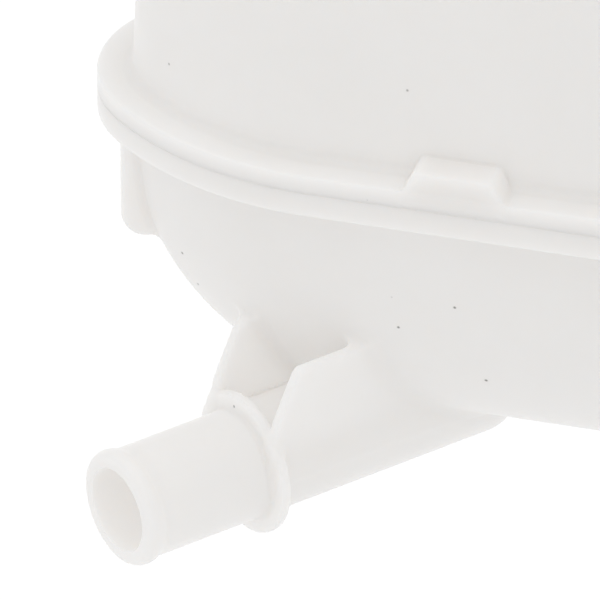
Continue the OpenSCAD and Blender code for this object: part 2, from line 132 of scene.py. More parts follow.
# Neck and nozzle
NECK_X = 28.0
NECK_R = 18.5
NECK_BORE_R = 15.2
RIM_Z = CROWN_H + 19.0
STOP_W = 2.5
STOP_T = 2.0
NOZZLE_C = np.array([-HALF_L + 25.0, 0.0, 42.0])
NOZZLE_SLOPE = math.radians(25)
NOZZLE_D = np.array([-math.cos(NOZZLE_SLOPE), 0.0, math.sin(NOZZLE_SLOPE)])
NOZZLE_R = 4.0
NOZZLE_BORE_R = 2.5
NOZZLE_L = 34.0
NOZZLE_BOSS_RISE = 2.0
NOZZLE_BOSS_L = 12.0
BARB_RISE = 0.6
BARB_SLOPE = 0.3
BARB_L = 2.0
BAFFLES = (-40.0, -4.0, 52.0)
BAFFLE_T = 2.0
BAFFLE_HOLE = 6.0
BAFFLE_HOLE_Z = 34.0

# Mounting ears
EAR_X = 40.0
EAR_HOLE = 8.05
EAR_R = EAR_HOLE + 4.6
EAR_RIB_T = 2.4
EAR_RIB_H = 14.0

# Screw thread of the neck and the cap, by its radii above the neck's and its heights below the rim
PITCH = 4.0
THREAD_RISE = 1.35
THREAD_TOP = -2.6
THREAD_TURNS = 2.25
THREAD_STEPS = 90
THREAD_FADE_STEPS = 12

# The two springs of the cap: turns closed at each end, and the wire's pitch there in wire radii
CLOSED_TURN = 0.75
CLOSED_PITCH = 2.1
COIL_STEPS = 32
WIRE_SIDES = 10

# Photograph: 5.8 pixels a millimetre, seen 15.4 degrees to the right of the front and 33 degrees from above
PHOTO_SIZE = 600
PIXELS_PER_MM = 5.8
PHOTO_AZIMUTH = math.radians(15.4)
PHOTO_ELEVATION = math.radians(33)
# The flange's nose corner, in the tank's frame, and where it lies in the photograph
PHOTO_MARK = np.array([-89.54, -5.73, FLANGE_UP])
PHOTO_MARK_PIXEL = (94.0, 62.5)


def to_row(points):
    """Tank frame in millimetres to the row frame in metres."""
    moved = np.array(points, dtype=float)
    moved[..., 1] -= EAR_Y
    return moved * MM


# Meshes

def make_object(name, points, faces):
    """A mesh from points in the tank's frame."""
    mesh = bpy.data.meshes.new(name)
    mesh.from_pydata(to_row(points).tolist(), [], faces)
    mesh.validate()
    piece = bpy.data.objects.new(name, mesh)
    bpy.context.collection.objects.link(piece)
    return piece


def shade(piece, degrees=35):
    """Smooth shading with sharp edges kept."""
    mesh = piece.data
    mesh.shade_smooth()
    mesh.set_sharp_from_angle(angle=math.radians(degrees))


def outward(piece):
    """Turns every face outwards."""
    work = bmesh.new()
    work.from_mesh(piece.data)
    bmesh.ops.recalc_face_normals(work, faces=work.faces)
    work.to_mesh(piece.data)
    work.free()


def apply_modifiers(piece):
    """Puts the piece's modifiers into its mesh."""
    graph = bpy.context.evaluated_depsgraph_get()
    done = bpy.data.meshes.new_from_object(piece.evaluated_get(graph))
    old = piece.data
    piece.modifiers.clear()
    piece.data = done
    bpy.data.meshes.remove(old)


def combine(piece, other, operation):
    """Unites a piece with another mesh, or cuts the other out of it, and removes the other."""
    modifier = piece.modifiers.new("combine", "BOOLEAN")
    modifier.operation = operation
    modifier.solver = "EXACT"
    modifier.object = other
    bpy.context.view_layer.update()
    apply_modifiers(piece)
    bpy.data.objects.remove(other)


def ring_faces(count, rings, close=False):
    """Quads between rings of count points each."""
    last = rings if close else rings - 1
    faces = []
    for k in range(last):
        a = k * count
        b = (k + 1) % rings * count
        for i in range(count):
            j = (i + 1) % count
            faces.append((a + i, a + j, b + j, b + i))
    return faces


def revolve(name, profile, place, steps=96):
    """A turned mesh from a closed profile of (radius, height) points about the axis that place sets."""
    points = []
    for r, h in profile:
        for i in range(steps):
            turn = 2 * math.pi * i / steps
            points.append(place(r * math.cos(turn), r * math.sin(turn), h))
    faces = ring_faces(steps, len(profile), True)
    piece = make_object(name, points, faces)
    outward(piece)
    shade(piece)
    return piece


def arc(centre, radius, start, end, steps):
    """Points on an arc, in degrees."""
    turns = np.radians(np.linspace(start, end, steps + 1))
    return [(centre[0] + radius * math.cos(t), centre[1] + radius * math.sin(t)) for t in turns]


# The tank's plan and its lofted walls

STRAIGHT_STEPS = 10
FLANK_STEPS = 24
NOSE_STEPS = 24
OUTER_LEVELS = 40
INNER_LEVELS = 16


def quarter_plan(off):
    """Right back quarter of the outline, parallel to the flange's edge, from the middle to the nose."""
    x = np.linspace(0, FLANK_X, STRAIGHT_STEPS + 1)[:-1]
    straight = np.stack([x, np.full_like(x, HALF_W + off)], 1)
    turn = np.linspace(0, JOIN, FLANK_STEPS + 1)[:-1]
    r = FLANK_R + off
    flank = np.stack([FLANK_X + r * np.sin(turn), -FLANK_Y + r * np.cos(turn)], 1)
    turn = np.linspace(JOIN, math.pi / 2, NOSE_STEPS + 1)
    r = NOSE_R + off
    nose = np.stack([NOSE_X + r * np.sin(turn), r * np.cos(turn)], 1)
    return np.concatenate([straight, flank, nose])


def plan(off):
    """The whole outline, with every point once."""
    q = quarter_plan(off)
    right = np.concatenate([q, (q * [1, -1])[-2:0:-1]])
    bottom = (q * [1, -1])[:1]
    left = right * [-1, 1]
    return np.concatenate([right, bottom, left[:0:-1]])


def ring(off, z, g, keel):
    """One ring of a loft, drawn in towards the keel line by the share g."""
    p = plan(off)
    k = np.stack([np.clip(p[:, 0], -keel, keel), np.zeros(len(p))], 1)
    return np.concatenate([k + (p - k) * g, np.full((len(p), 1), z)], 1)


def bowl_levels(inset, depth, steps):
    """Rings of the bowl from its straight wall down to the keel line."""
    levels = []
    for a in np.linspace(0, math.pi / 2, steps + 1):
        g = max(math.cos(a), KEEL_FLAT / (HALF_W - WALL_INSET))
        levels.append(ring(-inset, -BOWL_SIDE - depth * math.sin(a), g, BOWL_KEEL))
    return levels


def crown_levels(extra, steps):
    """Rings of the upper shell from its wall up to the crown's ridge line."""
    levels = []
    top = CROWN_H - extra
    for a in np.linspace(0, math.pi / 2, steps + 1):
        z = WALL_Z + (top - WALL_Z) * math.sin(a) ** (2 / CROWN_SQUARE)
        g = max(math.cos(a), 0) ** (2 / CROWN_SQUARE)
        off = -WALL_INSET - extra - DRAFT * (z - WALL_Z)
        levels.append(ring(off, z, max(g, KEEL_FLAT / (HALF_W - WALL_INSET)), CROWN_KEEL))
    return levels


def edge_rings(points, keel):
    """Rings at full size from (distance outside the flange's edge, height) points."""
    return [ring(off, z, 1.0, keel) for off, z in points]


def upper_loft():
    """The upper shell's wall, crown and flange as one closed skin."""
    root = (ROOT_R - WALL_INSET, FLANGE_UP + ROOT_R)
    outside = (
        [(-WELD_R, 0.0), (0.0, WELD_R)]
        + arc((-EDGE_R, FLANGE_UP - EDGE_R), EDGE_R, 0, 90, 4)
        + arc(root, ROOT_R, 270, 180, 8)[:-1]
    )
    outer = edge_rings(outside, CROWN_KEEL) + crown_levels(0.0, OUTER_LEVELS)
    inner = crown_levels(WALL, INNER_LEVELS)[::-1] + edge_rings([(-WALL_INSET - WALL, 0.0)], CROWN_KEEL)
    return closed_skin("upper_shell_skin", outer, inner)


def lower_loft():
    """The lower shell's bowl and flange as one closed skin."""
    low = -FLANGE_DOWN
    root = (ROOT_DOWN_R - WALL_INSET, low - ROOT_DOWN_R)
    outside = (
        [(-WELD_R, 0.0), (0.0, -WELD_R)]
        + arc((-EDGE_R, low + EDGE_R), EDGE_R, 0, -90, 4)
        + arc(root, ROOT_DOWN_R, 90, 180, 6)
    )
    outer = edge_rings(outside, BOWL_KEEL) + bowl_levels(WALL_INSET, BOWL_ROUND, OUTER_LEVELS)
    inner = bowl_levels(WALL_INSET + WALL, BOWL_ROUND - WALL, INNER_LEVELS)[::-1]
    inner += edge_rings([(-WALL_INSET - WALL, 0.0)], BOWL_KEEL)
    return closed_skin("lower_shell_skin", outer, inner)


def flat_cap(start, count):
    """Faces across a ring, each between two points of its back half and their mirrored points in front."""
    faces = []
    for i in range(-count // 4, count // 4):
        corners = (i % count, (i + 1) % count, (count // 2 - i - 1) % count, (count // 2 - i) % count)
        faces.append(tuple(start + c for c in dict.fromkeys(corners)))
    return faces


def closed_skin(name, outer, inner):
    """A hollow loft: the outer rings run to the keel, the inner ones back, and both keel flats are capped."""
    rings = outer + inner
    count = len(rings[0])
    keel = len(outer) - 1
    faces = [f for k, f in enumerate(ring_faces(count, len(rings), True)) if k // count != keel]
    faces += flat_cap(keel * count, count) + flat_cap((keel + 1) * count, count)
    piece = make_object(name, np.concatenate(rings), faces)
    outward(piece)
    return piece


# Distance fields for the moulded details, so that each one runs softly into its shell

def soft_union(a, b, k):
    """The lower of two fields, with a fillet of about k where they meet."""
    h = np.clip(0.5 + 0.5 * (b - a) / k, 0, 1)
    return b + (a - b) * h - k * h * (1 - h)


def soft_common(a, b, k):
    """The higher of two fields, with an edge round of about k where they meet."""
    return -soft_union(-a, -b, k)


def plan_distance(p):
    """Distance outside the flange's edge in plan."""
    x = np.abs(p[:, 0])
    y = np.abs(p[:, 1])
    flank = np.hypot(x - FLANK_X, y + FLANK_Y) - FLANK_R
    nose = np.hypot(x - NOSE_X, y) - NOSE_R
    turn = np.arctan2(x - FLANK_X, y + FLANK_Y)
    return np.where(x < FLANK_X, y - HALF_W, np.where(turn < JOIN, flank, nose))


def gauge(p, keel, inset):
    """How far out a point lies, where 0 is the keel line and 1 the wall, and the reach of the wall there."""
    x = np.abs(p[:, 0])
    y = np.abs(p[:, 1])
    w = HALF_W - inset
    vx = x - keel
    far = np.hypot(vx, y) + 1e-9
    ux = vx / far
    uy = y / far
    flat = w / np.maximum(uy, 1e-9)
    qx = keel - FLANK_X
    b = ux * qx + uy * FLANK_Y
    c = qx ** 2 + FLANK_Y ** 2 - (FLANK_R - inset) ** 2
    flank = -b + np.sqrt(np.maximum(b ** 2 - c, 0))
    on_flank = np.arctan2(qx + ux * flank, FLANK_Y + uy * flank) < JOIN
    b = ux * (keel - NOSE_X)
    c = (keel - NOSE_X) ** 2 - (NOSE_R - inset) ** 2
    nose = -b + np.sqrt(np.maximum(b ** 2 - c, 0))
    reach = np.where(keel + ux * flat < FLANK_X, flat, np.where(on_flank, flank, nose))
    end = x > keel
    return np.where(end, far / reach, y / w), np.where(end, reach, w)


def bowl_distance(p):
    """Distance outside the bowl's outer skin."""
    mu, reach = gauge(p, BOWL_KEEL, WALL_INSET)
    s = np.maximum(-p[:, 2] - BOWL_SIDE, 0) / BOWL_ROUND
    base = np.sqrt(mu ** 2 + s ** 2) + 1e-9
    return (base - 1) * base / (np.sqrt((mu / reach) ** 2 + (s / BOWL_ROUND) ** 2) + 1e-9)


def crown_distance(p):
    """Distance outside the upper shell's outer skin."""
    rise = np.maximum(p[:, 2] - WALL_Z, 0)
    mu, reach = gauge(p, CROWN_KEEL, WALL_INSET + DRAFT * rise)
    n = CROWN_SQUARE
    s = rise / (CROWN_H - WALL_Z)
    base = (mu ** n + s ** n) ** (1 / n) + 1e-9
    steep = np.hypot(mu ** (n - 1) / reach, s ** (n - 1) / (CROWN_H - WALL_Z)) / base ** (n - 1)
    return (base - 1) / (steep + 1e-9)


def plate_distance(p, low, high):
    """The flange as a flat plate between two heights."""
    middle = (low + high) / 2
    return np.maximum(plan_distance(p), np.abs(p[:, 2] - middle) - (high - low) / 2)


def disc(r, h, radius, low, high, k):
    """A round disc or tube about an axis, from the distance r to the axis and the height h along it."""
    return soft_common(r - radius, np.maximum(low - h, h - high), k)


def outlet_distance(p):
    """The outlet pipe with its bead, collar, round end and two gussets."""
    q = p - PIPE_C
    a = q @ PIPE_D
    side = q @ PIPE_N
    up = q[:, 2]
    r = np.hypot(side, up)
    end = -PIPE_UNDER + PIPE_R
    tube = np.where(a < end, np.hypot(r, a - end) - PIPE_R, r - PIPE_R)
    tube = soft_common(tube, a - PIPE_REACH, 1.0)
    bead = disc(r, a, PIPE_R + BEAD_RISE, PIPE_REACH - BEAD_L, PIPE_REACH, 1.6)
    collar = disc(r, a, COLLAR_R, -COLLAR_T / 2, COLLAR_T / 2, 0.8)
    slope = math.atan2(GUSSET_LEAN, GUSSET_H - GUSSET_STEP)
    front = a - COLLAR_T / 2
    lean = front * math.cos(slope) + (up - GUSSET_STEP) * math.sin(slope)
    profile = soft_common(soft_common(front, lean, 1.5), up - GUSSET_H, 1.0)
    profile = np.maximum(np.maximum(profile, -up), end - a)
    gusset = soft_common(profile, np.abs(np.abs(side) - PIPE_R + GUSSET_T / 2) - GUSSET_T / 2, 0.8)
    body = soft_union(soft_union(tube, bead, 0.6), collar, 1.0)
    return soft_union(body, gusset, 1.2)


def foot_distance(p):
    """The upright rib under the left nose."""
    out = np.array([-math.cos(FOOT_TURN), -math.sin(FOOT_TURN)])
    across = np.array([-out[1], out[0]])
    q = p[:, :2] - np.array([-NOSE_X, 0.0])
    r = q @ out
    t = q @ across
    past_side = np.maximum(r - FOOT_REACH + FOOT_CORNER, 0)
    past_end = np.maximum(FOOT_Z + FOOT_CORNER - p[:, 2], 0)
    corner = np.hypot(past_side, past_end)
    profile = np.maximum(corner - FOOT_CORNER, p[:, 2] + FLANGE_DOWN / 2)
    profile = np.maximum(profile, -r)
    return soft_common(profile, np.abs(t) - FOOT_T / 2, 1.0)


def neck_distance(p):
    """The filler neck with its stop ring."""
    q = p - np.array([NECK_X, 0.0, 0.0])
    r = np.hypot(q[:, 0], q[:, 1])
    neck = disc(r, q[:, 2], NECK_R, CROWN_H / 2, RIM_Z, 0.8)
    stop = disc(r, q[:, 2], NECK_R + STOP_W, CROWN_H, CROWN_H + STOP_T, 0.8)
    return soft_union(neck, stop, 0.8)


def nozzle_distance(p):
    """The return nozzle with its boss and barb."""
    q = p - NOZZLE_C
    a = q @ NOZZLE_D
    r = np.sqrt(np.maximum((q ** 2).sum(1) - a ** 2, 0))
    tube = disc(r, a, NOZZLE_R, 0.0, NOZZLE_L, 0.6)
    boss = disc(r, a, NOZZLE_R + NOZZLE_BOSS_RISE, 0.0, NOZZLE_BOSS_L, 0.6)
    barb = NOZZLE_R + BARB_RISE - BARB_SLOPE * np.clip(a - NOZZLE_L + 1.5 * BARB_L, 0, BARB_L)
    bead = soft_common(r - barb, np.abs(a - NOZZLE_L + BARB_L) - BARB_L / 2, 0.5)
    return soft_union(soft_union(tube, boss, 2.0), bead, 0.4)


def tab_distance(p):
    """The low tab that stands on the flange's front edge."""
    x = np.abs(p[:, 0] - TAB_X)
    slope = math.atan2(TAB_BASE - TAB_TOP, TAB_H)
    sides = (x - TAB_BASE) * math.cos(slope) + np.maximum(p[:, 2] - FLANGE_UP, -1) * math.sin(slope)
    top = p[:, 2] - FLANGE_UP - TAB_H
    depth = np.maximum(-p[:, 1] - HALF_W, p[:, 1] + HALF_W - WALL_INSET)
    return soft_common(soft_common(np.maximum(sides, 1 - p[:, 2]), top, 0.8), depth, 0.8)


# Radius of a detail's soft root, and how far its patch stays under the shell's skin and reaches into its wall
BLEND = 3.0
NOZZLE_BLEND = 2.0
SMALL_BLEND = 1.5
TAB_BLEND = 0.8
SINK = 0.04
DEPTH = 2.0
# Grid steps of the fields
STEP = 0.6
COARSE_STEP = 0.65
NOZZLE_STEP = 0.5
TAB_STEP = 0.4


def patch_field(shell, detail, blend):
    """The detail with its soft root on the shell, kept to the shell's outer skin elsewhere."""
    def field(p):
        base = shell(p)
        add = detail(p)
        joined = soft_union(base + SINK, add, blend)
        joined = np.maximum(joined, add - blend - 0.5)
        return np.maximum(joined, -base - DEPTH)
    return field


def in_slabs(field, points, size=200000):
    """A field's values, worked out some points at a time to spare memory."""
    return np.concatenate([field(points[i:i + size]) for i in range(0, len(points), size)])


def surface(name, field, low, high, step):
    """A closed mesh on the zero level of a field, by surface nets moved onto the true surface."""
    counts = [int(math.ceil((h - l) / step)) + 1 for l, h in zip(low, high)]
    axes = [l + step * np.arange(n) for l, n in zip(low, counts)]
    grid = np.stack(np.meshgrid(*axes, indexing="ij"), -1).reshape(-1, 3)
    value = in_slabs(field, grid).reshape(counts)
    for axis in range(3):
        for side in (0, -1):
            value[tuple(side if i == axis else slice(None) for i in range(3))] = step
    inside = value < 0
    corners = [(i, j, k) for i in (0, 1) for j in (0, 1) for k in (0, 1)]
    cut = [tuple(slice(c[i], counts[i] - 1 + c[i]) for i in range(3)) for c in corners]
    total = sum(inside[c].astype(np.int8) for c in cut)
    cells = np.argwhere((total > 0) & (total < 8))
    values = np.stack([value[tuple((cells + c).T)] for c in corners], 1)
    sums = np.zeros((len(cells), 3))
    hits = np.zeros(len(cells))
    for i, a in enumerate(corners):
        for j, b in enumerate(corners):
            if j <= i or sum(u != v for u, v in zip(a, b)) != 1:
                continue
            crossed = (values[:, i] < 0) != (values[:, j] < 0)
            t = values[:, i] / np.where(crossed, values[:, i] - values[:, j], 1)
            where = np.array(a) + t[:, None] * (np.array(b) - np.array(a))
            sums += where * crossed[:, None]
            hits += crossed
    points = np.array(low) + step * (cells + sums / hits[:, None])
    number = np.full([n - 1 for n in counts], -1)
    number[tuple(cells.T)] = np.arange(len(cells))
    quads = []
    for axis in range(3):
        u, v = (axis + 1) % 3, (axis + 2) % 3
        one = tuple(slice(0, -1) if i == axis else slice(None) for i in range(3))
        two = tuple(slice(1, None) if i == axis else slice(None) for i in range(3))
        edges = np.argwhere(inside[one] != inside[two])
        around = []
        for du, dv in ((-1, -1), (0, -1), (0, 0), (-1, 0)):
            c = edges.copy()
            c[:, u] += du
            c[:, v] += dv
            around.append(number[tuple(c.T)])
        quads.append(np.stack(around, 1))
    for _ in range(3):
        points -= pull(field, points, step)
    piece = make_object(name, points, np.concatenate(quads).tolist())
    outward(piece)
    return piece


def pull(field, points, step):
    """The move that takes points onto the field's zero level."""
    reach = 0.02
    slope = np.stack([
        in_slabs(field, points + reach * d) - in_slabs(field, points - reach * d) for d in np.eye(3)
    ], 1) / (2 * reach)
    size = (slope ** 2).sum(1) + 1e-6
    move = (in_slabs(field, points) / size)[:, None] * slope
    length = np.linalg.norm(move, axis=1, keepdims=True) + 1e-12
    return move * np.minimum(1, 0.4 * step / length)


# A cutter's ends start this far from its axis, and merge_close then joins those points
AXIS_R = 0.001
MERGE = 0.01
# How far a cutter runs past an open end
PAST = 5


def tube_cutter(name, centre, direction, radius, start, end, round_start):
    """A closed cylinder that cuts a bore, with a round closed end where asked."""
    along = Vector(direction)
    turn = Vector((0, 0, 1)).rotation_difference(along).to_matrix()
    profile = [(radius, end), (AXIS_R, end)]
    if round_start:
        turns = np.linspace(math.pi / 2 - AXIS_R, 0, 12)
        lead = [(radius * math.cos(t), start - radius * math.sin(t)) for t in turns]
    else:
        lead = [(AXIS_R, start), (radius, start)]

    def place(x, y, z):
        return np.array(centre) + np.array(turn @ Vector((x, y, z)))
    cutter = revolve(name, lead + profile, place)
    merge_close(cutter, MERGE)
    return cutter


def merge_close(piece, distance):
    """Joins points closer than the distance."""
    work = bmesh.new()
    work.from_mesh(piece.data)
    bmesh.ops.remove_doubles(work, verts=work.verts, dist=distance * MM)
    bmesh.ops.recalc_face_normals(work, faces=work.faces)
    work.to_mesh(piece.data)
    work.free()


# Materials

# Grain of the satin and matt skins, as bump heights in metres
GRAIN_HEIGHT = 0.0002

# Milky plastic: how far light runs in it and what passes into the tank, as fitted to the photograph's tones
MILKY_DARK = (0.810, 0.796, 0.780)
MILKY_LIGHT = (0.830, 0.818, 0.805)
MILKY_REACH = (1.0, 0.92, 0.85)
MILKY_REACH_SCALE = 0.006
MILKY_IOR = 1.49
# Painted light: an emission glow on the outer skin, and a stronger one on the inner skins and bores, lifts the
# shade in hollows and evens out the tones
PAINTED_GLOW_COLOUR = (1.0, 0.985, 0.97, 1)
PAINTED_GLOW_OUTSIDE = 0.115
PAINTED_GLOW_INSIDE = 0.135

# Specks of dirt: cells a metre, where a speck's core ends and its edge fades out in its cell, and its colour
SPECK_CELLS = 130.0
SPECK_CORE = 0.02
SPECK_EDGE = 0.05
SPECK_COLOUR = (0.12, 0.11, 0.10, 1)
MIX_FACTOR, MIX_FIRST, MIX_SECOND, MIX_RESULT = 0, 6, 7, 2


def new_material(name):
    """A material with its node tree and its shader."""
    material = bpy.data.materials.new(name)
    material.use_nodes = True
    tree = material.node_tree
    shader = tree.nodes["Principled BSDF"]
    return material, tree, shader


def add_noise(tree, scale, detail=4.0):
    """Noise fixed to the object, in cells a metre."""
    place = tree.nodes.new("ShaderNodeTexCoord")
    noise = tree.nodes.new("ShaderNodeTexNoise")
    noise.inputs["Scale"].default_value = scale
    noise.inputs["Detail"].default_value = detail
    noise.inputs["Roughness"].default_value = 0.6
    tree.links.new(place.outputs["Object"], noise.inputs["Vector"])
    return noise


def ramp(tree, source, low, high, start=0.3, end=0.7):
    """A colour ramp between two colours."""
    node = tree.nodes.new("ShaderNodeValToRGB")
    node.color_ramp.elements[0].position = start
    node.color_ramp.elements[0].color = low
    node.color_ramp.elements[1].position = end
    node.color_ramp.elements[1].color = high
    tree.links.new(source, node.inputs["Fac"])
    return node


def bump(tree, source, strength):
    """Fine relief of the skin."""
    node = tree.nodes.new("ShaderNodeBump")
    node.inputs["Strength"].default_value = strength
    node.inputs["Distance"].default_value = GRAIN_HEIGHT
    tree.links.new(source, node.inputs["Height"])
    return node


def speckled(tree, colour):
    """A few small dark specks of dirt over a colour."""
    place = tree.nodes.new("ShaderNodeTexCoord")
    cells = tree.nodes.new("ShaderNodeTexVoronoi")
    cells.inputs["Scale"].default_value = SPECK_CELLS
    tree.links.new(place.outputs["Object"], cells.inputs["Vector"])
    spot = ramp(tree, cells.outputs["Distance"], (1, 1, 1, 1), (0, 0, 0, 1), SPECK_CORE, SPECK_EDGE)
    mix = tree.nodes.new("ShaderNodeMix")
    mix.data_type = "RGBA"
    tree.links.new(spot.outputs["Color"], mix.inputs[MIX_FACTOR])
    tree.links.new(colour.outputs["Color"], mix.inputs[MIX_FIRST])
    mix.inputs[MIX_SECOND].default_value = SPECK_COLOUR
    return mix.outputs[MIX_RESULT]


def milky_plastic(name, glow):
    """Natural polypropylene: milky, slightly warm, with cloudy flow marks and a soft satin skin.

    The glow is painted light: an emission on a part that is no lamp. It stands for light that many passes
    through the clear walls would gather inside the tank, and it lifts the shade in hollows.
    """
    material, tree, shader = new_material(name)
    shader.inputs["Emission Color"].default_value = PAINTED_GLOW_COLOUR
    shader.inputs["Emission Strength"].default_value = glow
    cloud = add_noise(tree, 38.0)
    colour = ramp(tree, cloud.outputs["Fac"], (*MILKY_DARK, 1), (*MILKY_LIGHT, 1))
    tree.links.new(speckled(tree, colour), shader.inputs["Base Color"])
    shader.inputs["Subsurface Weight"].default_value = 1.0
    shader.inputs["Subsurface Radius"].default_value = MILKY_REACH
    shader.inputs["Subsurface Scale"].default_value = MILKY_REACH_SCALE
    shader.inputs["IOR"].default_value = MILKY_IOR
    skin = add_noise(tree, 220.0, 3.0)
    rough = ramp(tree, skin.outputs["Fac"], (0.34, 0.34, 0.34, 1), (0.42, 0.42, 0.42, 1))
    tree.links.new(rough.outputs["Color"], shader.inputs["Roughness"])
    grain = add_noise(tree, 900.0, 2.0)
    relief = bump(tree, grain.outputs["Fac"], 0.06)
    tree.links.new(relief.outputs["Normal"], shader.inputs["Normal"])
    return material


def grained(name, dark, light, rough_low, rough_high, scale, strength, metallic=0.0):
    """A plain solid material with its own grain, tone and roughness."""
    material, tree, shader = new_material(name)
    cloud = add_noise(tree, scale / 8)
    colour = ramp(tree, cloud.outputs["Fac"], (*dark, 1), (*light, 1))
    tree.links.new(colour.outputs["Color"], shader.inputs["Base Color"])
    skin = add_noise(tree, scale)
    rough = ramp(tree, skin.outputs["Fac"], (rough_low,) * 3 + (1,), (rough_high,) * 3 + (1,))
    tree.links.new(rough.outputs["Color"], shader.inputs["Roughness"])
    relief = bump(tree, skin.outputs["Fac"], strength)
    tree.links.new(relief.outputs["Normal"], shader.inputs["Normal"])
    shader.inputs["Metallic"].default_value = metallic
    return material


# The inside copy is the same plastic with a stronger painted glow, for the inner skins and the bores
MILKY = milky_plastic("milky_plastic", PAINTED_GLOW_OUTSIDE)
MILKY_INSIDE_GLOW = milky_plastic("milky_plastic_inside", PAINTED_GLOW_INSIDE)
BLACK = grained("black_plastic", (0.018, 0.018, 0.020), (0.030, 0.030, 0.033), 0.38, 0.52, 1400, 0.25)
WHITE = grained("white_plastic", (0.62, 0.62, 0.60), (0.72, 0.72, 0.70), 0.35, 0.5, 900, 0.1)
RUBBER = grained("rubber", (0.012, 0.012, 0.012), (0.025, 0.025, 0.025), 0.6, 0.8, 1800, 0.3)
STEEL = grained("steel", (0.50, 0.51, 0.53), (0.66, 0.67, 0.69), 0.22, 0.4, 700, 0.1, 1.0)


def dress(node, material):
    """A better material on a carried-over solid."""
    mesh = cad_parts[node].data
    mesh.materials.clear()
    mesh.materials.append(material)


# The shells

def finish_shell(piece, node, inside):
    """Materials of a shell's outer skin and of its inside, and the CAD node that it stands for."""
    mesh = piece.data
    mesh.materials.clear()
    mesh.materials.append(MILKY)
    mesh.materials.append(MILKY_INSIDE_GLOW)
    centres = np.zeros(3 * len(mesh.polygons))
    mesh.polygons.foreach_get("center", centres)
    centres = centres.reshape(-1, 3) / MM + np.array([0.0, EAR_Y, 0.0])
    # Faces that the inside mask picks take the copy with the stronger painted glow
    mesh.polygons.foreach_set("material_index", inside(centres).astype(np.int32))
    shade(piece)
    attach(piece, "tank")
    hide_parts(node)


def add_baffles(shell, skin, side, depth):
    """Thin walls across the tank with a flow hole each, let halfway into the tank's wall."""
    for i, x in enumerate(BAFFLES):
        def field(p, x=x):
            hole = BAFFLE_HOLE - np.hypot(p[:, 1], p[:, 2] - side * BAFFLE_HOLE_Z)
            plate = soft_common(np.abs(p[:, 0] - x) - BAFFLE_T / 2, hole, 0.5)
            inside = np.maximum(skin(p) + WALL / 2, -side * p[:, 2])
            roof = side * p[:, 2] - depth + WALL / 2
            return np.maximum(np.maximum(plate, inside), roof)
        low = (x - 2.0, -HALF_W, min(0, side * depth) - 1)
        high = (x + 2.0, HALF_W, max(0, side * depth) + 1)
        combine(shell, surface(f"baffle_{i}", field, low, high, COARSE_STEP), "UNION")


def ear_distance(p):
    """The two mounting ears with their ribs, mirrored about the middle."""
    x = np.abs(p[:, 0]) - EAR_X
    y = p[:, 1]
    z = p[:, 2]
    strap = np.maximum(np.abs(x) - EAR_R, np.maximum(y - EAR_Y, HALF_W - 2 * WALL_INSET - y))
    outline = np.minimum(np.hypot(x, y - EAR_Y) - EAR_R, strap)
    plate = soft_common(outline, np.abs(z + FLANGE_DOWN / 2) - FLANGE_DOWN / 2 + 0.03, 0.8)
    slope = math.atan2(EAR_RIB_H, EAR_Y - HALF_W + 2 * WALL_INSET)
    root = HALF_W - WALL_INSET
    under = -(z + FLANGE_DOWN) * math.cos(slope) - EAR_RIB_H * math.cos(slope) + (y - root) * math.sin(slope)
    ends = np.maximum(root - WALL - y, y - EAR_Y - WALL_INSET)
    rib = np.maximum(np.maximum(under, z + FLANGE_DOWN / 2), ends)
    rib = soft_common(rib, np.abs(np.abs(x) - EAR_R + EAR_RIB_T / 2) - EAR_RIB_T / 2, 0.8)
    return soft_union(plate, rib, 0.8)


def thread(name, inner, outer, root, crest, start, turns, place):
    """A helical ridge with faded ends, from its root radius to its crest radius."""
    steps = int(turns * THREAD_STEPS)
    points = []
    for i in range(steps + 1):
        turn = 2 * math.pi * turns * i / steps
        fade = min(1.0, i / THREAD_FADE_STEPS, (steps - i) / THREAD_FADE_STEPS)
        crown = inner + (outer - inner) * fade
        z = start + PITCH * turn / (2 * math.pi)
        for r, h in ((inner, -root), (crown, -crest), (crown, crest), (inner, root)):
            points.append(place(r * math.cos(turn), r * math.sin(turn), z + h))
    faces = ring_faces(4, steps + 1)
    faces += [(0, 1, 2, 3), tuple(4 * steps + i for i in range(4))]
    piece = make_object(name, points, faces)
    outward(piece)
    return piece


def on_neck(x, y, z):
    """A point about the neck's axis, with its height above the rim."""
    return NECK_X + x, y, RIM_Z + z


def lower_shell():
    def base(p):
        return np.minimum(bowl_distance(p), plate_distance(p, -FLANGE_DOWN, 0.0))
    shell = lower_loft()
    outlet_field = patch_field(base, outlet_distance, BLEND)
    foot_field = patch_field(base, foot_distance, SMALL_BLEND)
    outlet = surface("outlet", outlet_field, (-92, -66, -74), (-6, 26, -30), STEP)
    foot = surface("foot", foot_field, (-90, -22, -33), (-60, 6, -1), STEP)
    combine(shell, outlet, "UNION")
    combine(shell, foot, "UNION")
    for side in (-1, 1):
        low = (side * EAR_X - 15, 18, -22)
        high = (side * EAR_X + 15, EAR_Y + EAR_R + 1.5, 1)
        combine(shell, surface("ear", patch_field(base, ear_distance, SMALL_BLEND), low, high, STEP), "UNION")
        hole = tube_cutter("ear_hole", (side * EAR_X, EAR_Y, 0), (0, 0, 1), EAR_HOLE, -8, 3, False)
        combine(shell, hole, "DIFFERENCE")
    add_baffles(shell, bowl_distance, -1, BOWL_SIDE + BOWL_ROUND)
    channel = tube_cutter("channel", PIPE_C, PIPE_D, CHANNEL_R, -PIPE_UNDER + PIPE_R, 0.5, True)
    bore = tube_cutter("bore", PIPE_C, PIPE_D, BORE_R, 0.0, PIPE_REACH + PAST, False)
    for cutter in (channel, bore):
        combine(shell, cutter, "DIFFERENCE")

    def inside(p):
        q = p - PIPE_C
        a = q @ PIPE_D
        r = np.sqrt(np.maximum((q ** 2).sum(1) - a ** 2, 0))
        in_bore = (r < BORE_R + 0.1) & (a < PIPE_REACH - 0.5) & (a > -PIPE_UNDER)
        return in_bore | (bowl_distance(p) < -0.7 * WALL) | (p[:, 2] > -0.06) & (plan_distance(p) < -0.2)
    finish_shell(shell, "lower_shell", inside)


